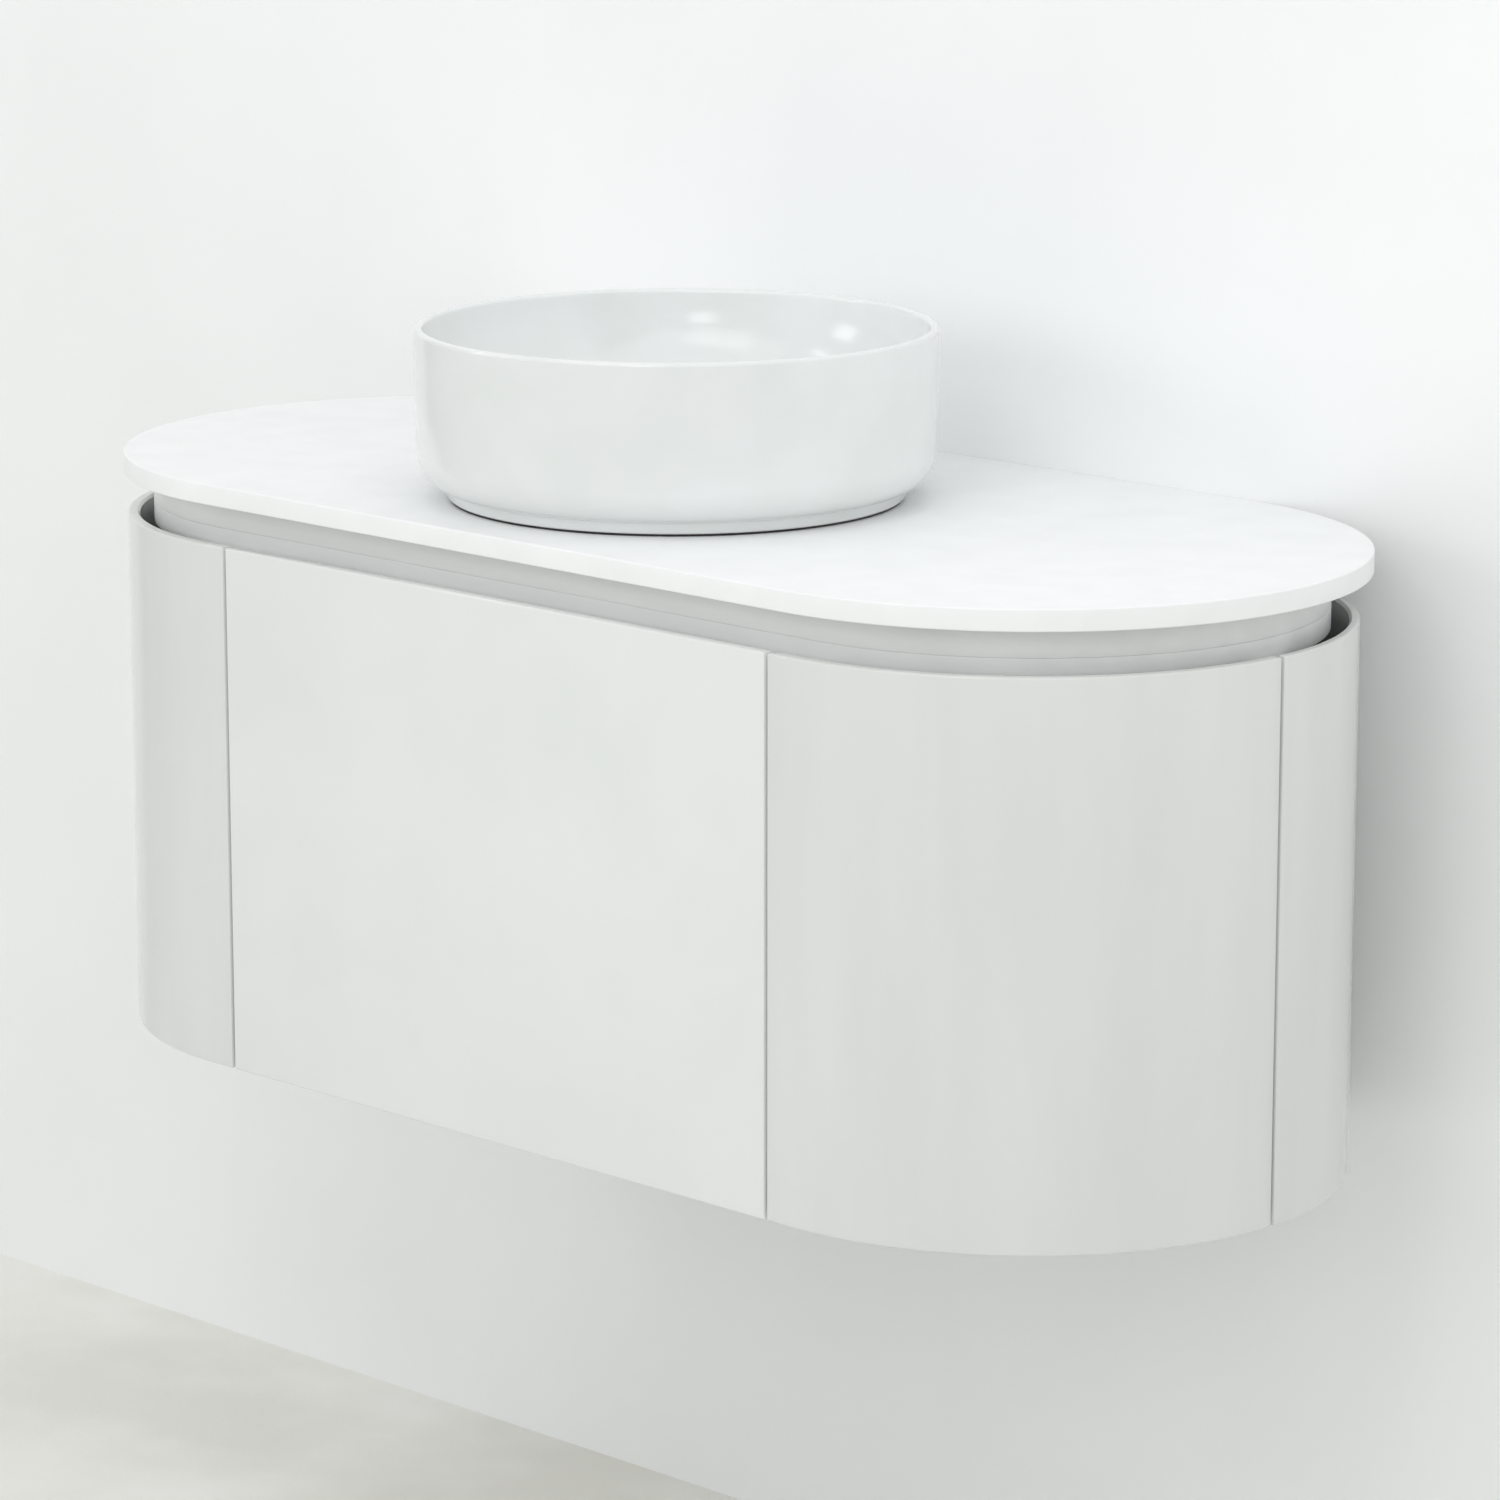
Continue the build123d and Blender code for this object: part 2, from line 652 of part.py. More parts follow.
with BuildPart() as inlet_nut:
    add(ring(on_basin_axis(waste_tube_bottom - 18), waste_tube_radius + 4.5, pipe_radius + fit_gap, 4))
    add(ring(on_basin_axis(waste_tube_bottom - 14), waste_tube_radius + 4.5, waste_tube_radius + fit_gap, 26))
    ribs = PolarLocations(waste_tube_radius + 4.5, 16)
    with BuildSketch(on_basin_axis(waste_tube_bottom - 16)):
        with ribs:
            Circle(1.2)
        Circle(waste_tube_radius + 2, mode=Mode.SUBTRACT)
    extrude(amount=20)
write(inlet_nut, "inlet_nut")

with BuildPart() as dip_tube:
    tube_length = waste_tube_bottom - 1 - dip_tube_bottom
    add(ring(on_basin_axis(dip_tube_bottom), pipe_radius, pipe_radius - pipe_wall, tube_length))
    add(ring(on_basin_axis(waste_tube_bottom - 13), waste_tube_radius - 0.5, pipe_radius - pipe_wall, 4))
write(dip_tube, "dip_tube")

with BuildPart() as trap_body:
    add(ring(on_basin_axis(cup_top), cup_radius, cup_radius - cup_wall, trap_top - 4 - cup_top))
    add(ring(on_basin_axis(trap_top - 4), cup_radius, pipe_radius + fit_gap, 4))
    add(ring(on_basin_axis(trap_top), pipe_radius + 7, pipe_radius + fit_gap, 16))
    fillet(trap_body.faces().sort_by(Axis.Z)[-1].outer_wire().edges(), 2)
    branch = facing((basin_x, basin_y + cup_radius + 14, outlet_z), (0, 1, 0))
    add(rods([branch], pipe_radius + 3, 18))
    add(rods([branch], pipe_radius + fit_gap, 20), mode=Mode.SUBTRACT)
write(trap_body, "trap_body")

with BuildPart() as trap_cup:
    add(rods([on_basin_axis(cup_top + 8)], cup_radius + 3.5, 26))
    add(rods([on_basin_axis(cup_top)], cup_radius, cup_top - cup_bottom))
    fillet(trap_cup.faces().sort_by(Axis.Z)[0].edges(), 8)
    add(rods([on_basin_axis(cup_top + 8)], cup_radius + fit_gap, 8), mode=Mode.SUBTRACT)
    add(rods([on_basin_axis(cup_top)], cup_radius - cup_wall, cup_top - cup_bottom - 3), mode=Mode.SUBTRACT)
write(trap_cup, "trap_cup")

with BuildPart() as outlet_nut:
    nut_start = basin_y + cup_radius + 6
    nut_plane = facing((basin_x, nut_start, outlet_z), (0, 1, 0))
    add(ring(nut_plane, pipe_radius + 6.5, pipe_radius + 3 + fit_gap, 8))
    add(ring(nut_plane.offset(8), pipe_radius + 6.5, pipe_radius + fit_gap, 10))
    chamfer(outlet_nut.faces().sort_by(Axis.Y)[-1].outer_wire().edges(), 1.5)
write(outlet_nut, "outlet_nut")

with BuildPart() as waste_pipe:
    pipe_start = basin_y + cup_radius + 2
    pipe_bore = pipe_radius - pipe_wall
    add(ring(facing((basin_x, pipe_start, outlet_z), (0, 1, 0)), pipe_radius, pipe_bore, -pipe_start))
    add(ring(facing((basin_x, 0, outlet_z), (0, 1, 0)), spigot_radius, pipe_bore, pipe_in_wall))
write(waste_pipe, "waste_pipe")

with BuildPart() as wall_rosette:
    with BuildSketch(Plane(origin=(basin_x, 0, outlet_z), x_dir=(1, 0, 0), z_dir=(0, 0, 1))):
        with BuildLine():
            Polyline(
                (pipe_radius + fit_gap, 0),
                (pipe_radius + fit_gap, -12),
                (pipe_radius + 4, -12),
                (rosette_radius - 4, -5),
                (rosette_radius, 0),
                close=True,
            )
        make_face()
    revolve(axis=Axis((basin_x, 0, outlet_z), (0, 1, 0)))
write(wall_rosette, "wall_rosette")
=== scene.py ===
import json
import logging
import math
from dataclasses import dataclass, field
from enum import Enum
from typing import Iterable

import bmesh
import bpy
from mathutils import Matrix, Vector


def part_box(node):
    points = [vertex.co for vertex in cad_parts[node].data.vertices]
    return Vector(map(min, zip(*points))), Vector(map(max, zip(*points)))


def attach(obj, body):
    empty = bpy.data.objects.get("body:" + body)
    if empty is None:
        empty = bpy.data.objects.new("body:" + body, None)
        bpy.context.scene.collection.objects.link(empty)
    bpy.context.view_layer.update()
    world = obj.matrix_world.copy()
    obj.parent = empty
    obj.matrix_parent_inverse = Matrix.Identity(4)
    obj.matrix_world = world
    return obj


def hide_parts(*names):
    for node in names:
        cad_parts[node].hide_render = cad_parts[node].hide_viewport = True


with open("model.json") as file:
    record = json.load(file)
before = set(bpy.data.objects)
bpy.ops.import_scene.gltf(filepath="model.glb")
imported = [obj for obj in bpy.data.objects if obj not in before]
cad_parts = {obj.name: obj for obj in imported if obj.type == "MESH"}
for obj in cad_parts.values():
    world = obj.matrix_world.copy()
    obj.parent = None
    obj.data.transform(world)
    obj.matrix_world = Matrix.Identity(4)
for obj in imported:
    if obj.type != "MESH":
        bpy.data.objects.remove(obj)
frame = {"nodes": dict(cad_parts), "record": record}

log = logging.getLogger("vanity")
MM = 0.001
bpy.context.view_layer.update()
UP = Vector((0, 0, 1))
WELD = 1e-6
SHARP = math.radians(32)
PATCH_EDGES = (0.35, 0.65)


class Body(Enum):
    """The bodies of the frame that new pieces ride on."""

    CABINET = "cabinet"
    DRAWER = "drawer"
    LEFT_DOOR = "left_door"
    RIGHT_DOOR = "right_door"
    PLUG = "plug"


class Side(Enum):
    """The two ends of the vanity, valued by the sign of their X."""

    LEFT = -1
    RIGHT = 1

    @property
    def prefix(self) -> str:
        """The start of the names of this end's nodes and pieces."""
        return f"{self.name.lower()}_"

    @property
    def door(self) -> Body:
        """The body of the door at this end."""
        return Body[f"{self.name}_DOOR"]


class Texture(Enum):
    """The procedural texture that gives a finish its fine relief."""

    CLOUD = "ShaderNodeTexNoise"
    CELLS = "ShaderNodeTexVoronoi"


def linear(colour: str) -> tuple[float, float, float, float]:
    """Turns an sRGB hex colour to the linear colour that shaders take.

    Args:
        colour: six hex digits, such as "F2F3F2".

    Returns:
        Linear red, green and blue, and an alpha of one.
    """
    parts = [int(colour[i:i + 2], 16) / 255 for i in (0, 2, 4)]
    made = [p / 12.92 if p <= 0.04045 else ((p + 0.055) / 1.055) ** 2.4 for p in parts]
    return (*made, 1.0)


def add_node(tree: bpy.types.NodeTree, kind: str, settings: dict | None = None,
             links: dict | None = None) -> bpy.types.Node:
    """Adds a node, sets it up and links what feeds it.

    Args:
        tree: the node tree that gets the node.
        kind: the node's type name.
        settings: values by input name or number, or by property name.
        links: output sockets by the name or number of the input that they feed.

    Returns:
        The new node.
    """
    made = tree.nodes.new(kind)
    for name, value in (settings or {}).items():
        if isinstance(name, int) or name in made.inputs:
            made.inputs[name].default_value = value
        else:
            setattr(made, name, value)
    for name, socket in (links or {}).items():
        tree.links.new(socket, made.inputs[name])
    return made


@dataclass(frozen=True)
class Finish:
    """One real surface and how it is drawn.

    Attributes:
        name: what the material is called in the workshop.
        slot: the record's material slot that it paints, or none on the stage.
        colour: sRGB hex of the surface.
        shade: sRGB hex of its faint darker patches.
        patch: size of those patches, in millimetres.
        grain: size of the fine relief, in millimetres.
        relief: height of the fine relief, in millimetres.
        roughness: mean roughness of the surface.
        spread: how far the roughness wanders each way.
        stretch: how many times longer the patches are along X, Y and Z.
        texture: what the fine relief is made of.
        metallic: one for a bare metal.
        ior: refractive index of a surface that isn't metal.
        coat: weight of a clear coat on top.
        coat_roughness: roughness of that coat.
        waviness: height of the slow unevenness under the gloss, in millimetres.
        wave: size of that unevenness, in millimetres.
        clear: share of light that passes through.
    """

    name: str
    slot: str | None
    colour: str
    shade: str
    patch: float
    grain: float
    relief: float
    roughness: float
    spread: float = 0.02
    stretch: tuple[float, float, float] = (1, 1, 1)
    texture: Texture = Texture.CLOUD
    metallic: float = 0.0
    ior: float = 1.5
    coat: float = 0.0
    coat_roughness: float = 0.05
    waviness: float = 0.0
    wave: float = 60.0
    clear: float = 0.0

    def material(self) -> bpy.types.Material:
        """Builds the node material, or hands back the one already built.

        Returns:
            The material of this finish.
        """
        known = bpy.data.materials.get(self.name)
        if known:
            return known
        made = bpy.data.materials.new(self.name)
        made.use_nodes = True
        tree = made.node_tree
        tree.nodes.clear()
        shader = add_node(tree, "ShaderNodeBsdfPrincipled", {
            "Metallic": self.metallic, "Transmission Weight": self.clear,
            "Coat Weight": self.coat, "Coat Roughness": self.coat_roughness})
        if not self.metallic:
            shader.inputs["IOR"].default_value = self.ior
        place = add_node(tree, "ShaderNodeTexCoord").outputs["Object"]
        drawn = add_node(tree, "ShaderNodeMapping", {"Scale": [1 / s for s in self.stretch]},
                         {"Vector": place}).outputs[0]
        patches = add_node(tree, "ShaderNodeTexNoise",
                           {"Scale": 1 / (self.patch * MM), "Detail": 3.0}, {"Vector": drawn})
        mottle = add_node(tree, "ShaderNodeMapRange",
                          {"From Min": PATCH_EDGES[0], "From Max": PATCH_EDGES[1]},
                          {"Value": patches.outputs[0]})
        tint = add_node(tree, "ShaderNodeMix",
                        {"data_type": "RGBA", 6: linear(self.colour), 7: linear(self.shade)},
                        {0: mottle.outputs[0]})
        polish = add_node(tree, "ShaderNodeMapRange",
                          {"To Min": self.roughness - self.spread,
                           "To Max": self.roughness + self.spread}, {"Value": mottle.outputs[0]})
        fine = add_node(tree, self.texture.value, {"Scale": 1 / (self.grain * MM)},
                        {"Vector": drawn})
        bump = add_node(tree, "ShaderNodeBump", {"Distance": self.relief * MM},
                        {"Height": fine.outputs[0]})
        if self.waviness:
            slow = add_node(tree, "ShaderNodeTexNoise",
                            {"Scale": 1 / (self.wave * MM), "Detail": 1.0}, {"Vector": drawn})
            bump = add_node(tree, "ShaderNodeBump", {"Distance": self.waviness * MM},
                            {"Height": slow.outputs[0], "Normal": bump.outputs[0]})
        out = add_node(tree, "ShaderNodeOutputMaterial", {}, {"Surface": shader.outputs[0]})
        tree.links.new(tint.outputs[2], shader.inputs["Base Color"])
        tree.links.new(polish.outputs[0], shader.inputs["Roughness"])
        tree.links.new(bump.outputs[0], shader.inputs["Normal"])
        out.is_active_output = True
        return made


# Acrylic-bound solid surface, sanded matt: a very even, almost chalky white without reflections.
SOLID_SURFACE = Finish("solid_surface_sanded_matt", "worktop", "F6F7F7", "F3F4F4", 40, 2.4, 0.006,
                       0.55, ior=1.49)
# Fired white glaze on fireclay, whose soft sheen blurs what it mirrors.
GLAZE = Finish("white_glazed_fireclay", "ceramic", "EAECEC", "E6E9E8", 70, 9.0, 0.004, 0.16,
               ior=1.52, coat=0.4, coat_roughness=0.12, waviness=0.03, wave=40)
# Sprayed and polished polyester lacquer on MDF: sharp reflections with a trace of orange peel,
# which is about 1.5 mm across and is drawn 4 mm across so that it shows.
GLOSS_LACQUER = Finish("polished_white_lacquer_on_mdf", "lacquer_front", "EAECEB", "E7EAE8", 120,
                       4.0, 0.0015, 0.12, spread=0.015, waviness=0.12)
# The same lacquer on bent MDF, whose skin ripples slightly along its height; its colour and patch
# colour are set darker than the flat front's as painted shade on the curved ends.
SHADED_BENT_LACQUER = Finish("polished_white_lacquer_on_bent_mdf", "lacquer_front", "E1E3E1", "DDDFDD", 60,
                      4.0, 0.0015, 0.13, stretch=(1, 1, 7), waviness=0.35, wave=45)
# Satin lacquer on board: closed, slightly sheeny and faintly brushed along the board.
SATIN_LACQUER = Finish("satin_white_lacquered_board", "lacquer_board", "E6E8E7", "E1E3E2", 30, 2.0,
                       0.004, 0.34, stretch=(5, 1, 1))
# Melamine-faced chipboard with a pressed pearl texture.
MELAMINE = Finish("white_melamine_faced_board", "drawer_board", "E7E5E1", "E0DEDA", 25, 1.2, 0.02,
                  0.42, stretch=(1, 3, 1))
# Bright zinc plate: cool grey with a fine crystalline spangle.
ZINC = Finish("bright_zinc_plated_steel", "zinc_steel", "C3C7CB", "B2B6BA", 6, 2.0, 0.01, 0.32,
              spread=0.06, texture=Texture.CELLS, metallic=1.0)
# Nickel plate on stamped hinge parts: warmer and smoother than zinc.
NICKEL = Finish("nickel_plated_steel", "nickel_steel", "CFCBC4", "C2BEB7", 8, 1.0, 0.003, 0.2,
                spread=0.04, metallic=1.0)
# Polished chrome on brass: a mirror with almost no texture.
CHROME = Finish("polished_chrome_on_brass", "chrome", "E3E5E8", "DDDFE2", 20, 6.0, 0.001, 0.05,
                spread=0.01, metallic=1.0)
# Machined brass nut, dulled by handling.
BRASS = Finish("machined_brass", "brass", "C9A45C", "B8934E", 5, 0.8, 0.006, 0.3, spread=0.06,
               metallic=1.0)
# Injection-moulded polypropylene: waxy white with a light spark-eroded skin.
POLYPROPYLENE = Finish("moulded_white_polypropylene", "white_plastic", "ECEDEB", "E6E7E5", 15, 0.8,
                       0.008, 0.38, ior=1.49)
# Moulded EPDM rubber: matt near-black.
RUBBER = Finish("moulded_epdm_rubber", "rubber", "302F2F", "272626", 8, 0.6, 0.01, 0.65, ior=1.52)
# Soft polyurethane door bumper: milky and translucent.
BUMPER = Finish("translucent_polyurethane_bumper", "clear_buffer", "E9EAE6", "E2E3DF", 4, 0.5,
                0.002, 0.25, ior=1.49, clear=0.6)
# Matt wall paint with the stipple that a short-pile roller leaves.
WALL_PAINT = Finish("matt_emulsion_on_plaster", None, "F9FAFA", "F5F6F6", 420, 7.0, 0.12, 0.8,
                    spread=0.03)
# Pale power-floated screed, mottled by the trowel.
SCREED = Finish("pale_floated_screed", None, "F3F2ED", "E6E4DE", 260, 6.0, 0.5, 0.75, spread=0.06)

NODE_FINISHES: dict[str, Finish] = {f.slot: f for f in (
    SOLID_SURFACE, GLAZE, GLOSS_LACQUER, SATIN_LACQUER, MELAMINE, ZINC, NICKEL, CHROME, BRASS,
    POLYPROPYLENE, RUBBER, BUMPER)}


class Outline:
    """A line drawn in a new mesh: straight runs extrude its last vertex and arcs spin it.

    Attributes:
        mesh: the mesh that holds the line.
        last: the vertex at the pen.
    """

    def __init__(self, start: Iterable[float]) -> None:
        """Puts the pen down.

        Args:
            start: the point where the line begins.
        """
        self.mesh = bmesh.new()
        self.last = bmesh.ops.create_vert(self.mesh, co=Vector(start))["vert"][0]

    def run(self, to: Iterable[float]) -> "Outline":
        """Draws a straight run.

        Args:
            to: the point where the run ends.

        Returns:
            This outline.
        """
        self.last = bmesh.ops.extrude_vert_indiv(self.mesh, verts=[self.last])["verts"][0]
        self.last.co = Vector(to)
        return self

    def arc(self, centre: Iterable[float], degrees: float, steps: int,
            axis: tuple[float, float, float] = (0, 1, 0)) -> "Outline":
        """Draws an arc from the pen.

        Args:
            centre: the arc's centre.
            degrees: the angle that it turns through.
            steps: how many chords it is made of.
            axis: the axis that it turns about.

        Returns:
            This outline.
        """
        made = bmesh.ops.spin(self.mesh, geom=[self.last], cent=Vector(centre), axis=axis,
                              angle=math.radians(degrees), steps=steps, use_merge=False)
        self.last = next(g for g in made["geom_last"] if isinstance(g, bmesh.types.BMVert))
        return self

    def close(self) -> "Outline":
        """Joins the pen to the first vertex and welds what lies together.

        Returns:
            This outline.
        """
        self.mesh.verts.ensure_lookup_table()
        first = self.mesh.verts[0]
        if (first.co - self.last.co).length > WELD:
            bmesh.ops.contextual_create(self.mesh, geom=[self.last, first])
        bmesh.ops.remove_doubles(self.mesh, verts=self.mesh.verts, dist=WELD)
        return self


class Sweep:
    """A section carried along straight runs and turns, as a bent board is.

    Attributes:
        mesh: the mesh that grows.
        tail: the edges of the section where the sweep began.
        lead: the edges of the section where it has got to.
    """

    def __init__(self, section: Outline) -> None:
        """Takes over a drawn section.

        Args:
            section: the section to carry, whose mesh grows into the sweep.
        """
        self.mesh = section.mesh
        self.tail = list(self.mesh.edges)
        self.lead = list(self.mesh.edges)

    def _advance(self, geometry: list) -> None:
        """Finds the new leading edges.

        Args:
            geometry: what an operator made.
        """
        ends = {g for g in geometry if isinstance(g, bmesh.types.BMVert)}
        self.lead = [g for g in geometry
                     if isinstance(g, bmesh.types.BMEdge) and set(g.verts) <= ends]

    def run(self, move: Iterable[float]) -> "Sweep":
        """Carries the section straight.

        Args:
            move: how far it goes along X, Y and Z.

        Returns:
            This sweep.
        """
        made = bmesh.ops.extrude_edge_only(self.mesh, edges=self.lead)["geom"]
        self._advance(made)
        bmesh.ops.translate(self.mesh, vec=Vector(move),
                            verts=[g for g in made if isinstance(g, bmesh.types.BMVert)])
        return self

    def turn(self, centre: Iterable[float], degrees: float, steps: int) -> "Sweep":
        """Carries the section round an upright axis.

        Args:
            centre: a point on the axis.
            degrees: the angle, positive from X towards Y.
            steps: how many facets the turn has.

        Returns:
            This sweep.
        """
        geometry = list({v for e in self.lead for v in e.verts}) + self.lead
        made = bmesh.ops.spin(self.mesh, geom=geometry, cent=Vector(centre), axis=UP,
                              angle=math.radians(degrees), steps=steps, use_merge=False)
        self._advance(made["geom_last"])
        return self

    def cap(self, ease: float) -> "Sweep":
        """Closes both ends and eases their edges.

        Args:
            ease: the radius of the easing, in metres.

        Returns:
            This sweep.
        """
        rims = self.tail + self.lead
        for edges in (self.tail, self.lead):
            bmesh.ops.edgeloop_fill(self.mesh, edges=edges)
        bmesh.ops.recalc_face_normals(self.mesh, faces=self.mesh.faces)
        bmesh.ops.bevel(self.mesh, geom=rims, offset=ease, segments=2, profile=0.5,
                        affect="EDGES", material=-1, clamp_overlap=True)
        return self


def eased_section(x: float, near: float, far: float, bottom: float, top: float, ease: float,
                  edge: float, steps: int = 4) -> Outline:
    """Draws the upright section of a board that is rounded in front and chamfered behind.

    Args:
        x: where the section stands along X.
        near: Y of the face towards the room.
        far: Y of the face away from it.
        bottom: Z of the lower edge.
        top: Z of the upper edge.
        ease: the radius of the rounded corners.
        edge: width of the upper edge, behind which the board is chamfered.
        steps: how many chords each rounded corner is made of.

    Returns:
        The closed section.
    """
    made = Outline((x, far, bottom)).run((x, near + ease, bottom))
    made.arc((x, near + ease, bottom + ease), -90, steps, axis=(1, 0, 0))
    made.run((x, near, top - ease)).arc((x, near + ease, top - ease), -90, steps, axis=(1, 0, 0))
    made.run((x, near + edge, top)).run((x, far, top - (far - near - edge)))
    return made.close()


def place(mesh: bmesh.types.BMesh, name: str, finish: Finish, body: Body,
          nodes: tuple[str, ...]) -> bpy.types.Object:
    """Makes a finished piece of a mesh and puts it in the frame.

    Args:
        mesh: the mesh, which is freed.
        name: the piece's name.
        finish: what it is made of.
        body: the body that it rides on.
        nodes: the CAD nodes that it stands for.

    Returns:
        The piece.
    """
    bmesh.ops.remove_doubles(mesh, verts=mesh.verts, dist=WELD)
    bmesh.ops.recalc_face_normals(mesh, faces=mesh.faces)
    data = bpy.data.meshes.new(name)
    mesh.to_mesh(data)
    mesh.free()
    data.shade_smooth()
    data.set_sharp_from_angle(angle=SHARP)
    data.materials.append(finish.material())
    piece = bpy.data.objects.new(name, data)
    bpy.context.scene.collection.objects.link(piece)
    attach(piece, body.value)
    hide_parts(*nodes)
    log.info("%s: %d faces, stands for %s", name, len(data.polygons), ", ".join(nodes))
    return piece


@dataclass(frozen=True)
class Plan:
    """The cabinet's outline from above, read from the CAD boxes.

    Attributes:
        half: half the cabinet's length.
        front: Y of the flat front face.
        back: Y of the back.
        seam: X of the doors' front edge.
    """

    half: float
    front: float
    back: float
    seam: float

    @classmethod
    def read(cls) -> "Plan":
        """Reads the outline from the frame.

        Returns:
            The outline.
        """
        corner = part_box("right_rear_panel")[1]
        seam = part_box("right_door_panel")[0].x
        return cls(corner.x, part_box("drawer_front")[0].y, corner.y, seam)

    @property
    def radius(self) -> float:
        """The radius of the round ends."""
        return (self.back - self.front) / 2

    @property
    def end_x(self) -> float:
        """How far the centre of each round end is from the middle."""
        return self.half - self.radius

    @property
    def middle_y(self) -> float:
        """Y of the outline's long axis."""
        return (self.back + self.front) / 2


def ring_round(section: Outline, end_x: float, middle_y: float, steps: int) -> Sweep:
    """Carries an open section drawn at the right end's front corner round a whole slot shape.

    Args:
        section: the section, at X = end_x.
        end_x: X of the right end's centre.
        middle_y: Y of both ends' centres.
        steps: facets in each half turn.

    Returns:
        The closed band.
    """
    band = Sweep(section).turn((end_x, middle_y, 0), 180, steps).run((-2 * end_x, 0, 0))
    band.turn((-end_x, middle_y, 0), 180, steps).run((2 * end_x, 0, 0))
    bmesh.ops.remove_doubles(band.mesh, verts=band.mesh.verts, dist=WELD)
    return band


@dataclass
class SlotBoard:
    """A slot-shaped board with eased edges and a round hole through it.

    Attributes:
        node: the CAD node that it stands for.
        name: the piece's name.
        finish: what it is made of.
        top_ease: radius of the upper edge.
        bottom_ease: radius of the lower edge.
        hole: radius of the hole, which is on the basin's axis.
        steps: facets in each round end.
        corner_steps: chords in each eased edge.
    """

    node: str
    name: str
    finish: Finish
    top_ease: float
    bottom_ease: float
    hole: float
    steps: int = 96
    corner_steps: int = 5

    def build(self, axis: Vector) -> bpy.types.Object:
        """Builds the board.

        Args:
            axis: a point on the basin's axis.

        Returns:
            The piece.
        """
        low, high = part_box(self.node)
        radius = (high.y - low.y) / 2
        end_x, middle_y = high.x - radius, (high.y + low.y) / 2
        inset = 4 * max(self.top_ease, self.bottom_ease)
        lower_y, upper_y = low.y + self.bottom_ease, low.y + self.top_ease
        upper_z = high.z - self.top_ease
        section = Outline((end_x, low.y + inset, low.z)).run((end_x, lower_y, low.z))
        section.arc((end_x, lower_y, low.z + self.bottom_ease), -90, self.corner_steps,
                    axis=(1, 0, 0))
        section.run((end_x, low.y, upper_z))
        section.arc((end_x, upper_y, upper_z), -90, self.corner_steps, axis=(1, 0, 0))
        section.run((end_x, low.y + inset, high.z))
        mesh = ring_round(section, end_x, middle_y, self.steps).mesh
        holes = []
        for z in (low.z, high.z):
            rim = [e for e in mesh.edges if e.is_boundary and abs(e.verts[0].co.z - z) < WELD]
            circle = bmesh.ops.create_circle(mesh, segments=self.steps, radius=self.hole,
                                             matrix=Matrix.Translation((axis.x, axis.y, z)))
            edges = list({e for v in circle["verts"] for e in v.link_edges})
            bmesh.ops.triangle_fill(mesh, edges=rim + edges, use_beauty=True, use_dissolve=False)
            holes += edges
        bmesh.ops.bridge_loops(mesh, edges=holes)
        return place(mesh, self.name, self.finish, Body.CABINET, (self.node,))


BOARDS = (
    SlotBoard("worktop", "worktop_slab", SOLID_SURFACE, 1.2 * MM, 1.2 * MM, 25 * MM),
    SlotBoard("neck_board", "neck_packer", SATIN_LACQUER, 0.3 * MM, 0.6 * MM, 45 * MM),
    SlotBoard("top_board", "carcass_top", SATIN_LACQUER, 0.6 * MM, 0.4 * MM, 45 * MM))


